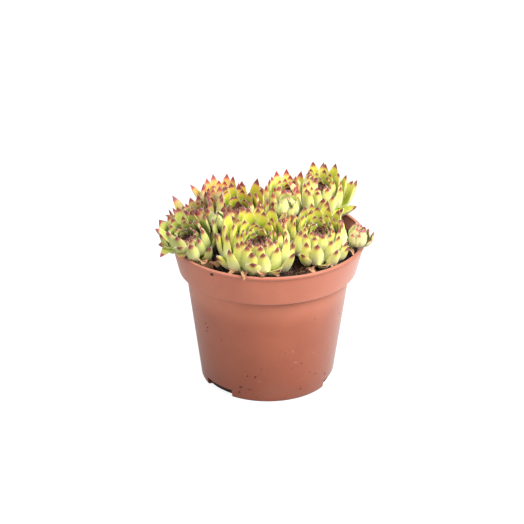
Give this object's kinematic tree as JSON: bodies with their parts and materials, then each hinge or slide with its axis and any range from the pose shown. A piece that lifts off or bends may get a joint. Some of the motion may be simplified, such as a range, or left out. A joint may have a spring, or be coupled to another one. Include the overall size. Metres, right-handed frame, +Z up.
{
  "type": "potted succulent",
  "caption": "Hens and chicks houseleek: a mound of pointed succulent rosettes and small offsets filling a tapered round plastic nursery pot.",
  "frame": {"origin": "middle of the pot's flat underside, which rests on the surface it stands on", "axes": "+Z up along the pot's axis; -Y towards the side with the three large front rosettes; +X to the right seen from the front"},
  "size_m": [0.1143, 0.1069, 0.1088],
  "materials": {
    "pot": "satin",
    "soil": "matte",
    "hen_leaf": "satin",
    "chick_leaf": "satin"
  },
  "bodies": {
    "root": {"pot": "pot", "soil": "soil", "hen_front": "hen_leaf", "hen_front_left": "hen_leaf", "hen_front_right": "hen_leaf", "hen_middle_left": "hen_leaf", "hen_left": "hen_leaf", "hen_back_left": "hen_leaf", "hen_back": "hen_leaf", "hen_back_right": "hen_leaf", "chick_left": "chick_leaf", "chick_middle": "chick_leaf", "chick_front": "chick_leaf", "chick_right": "chick_leaf"}
  },
  "joints": []
}
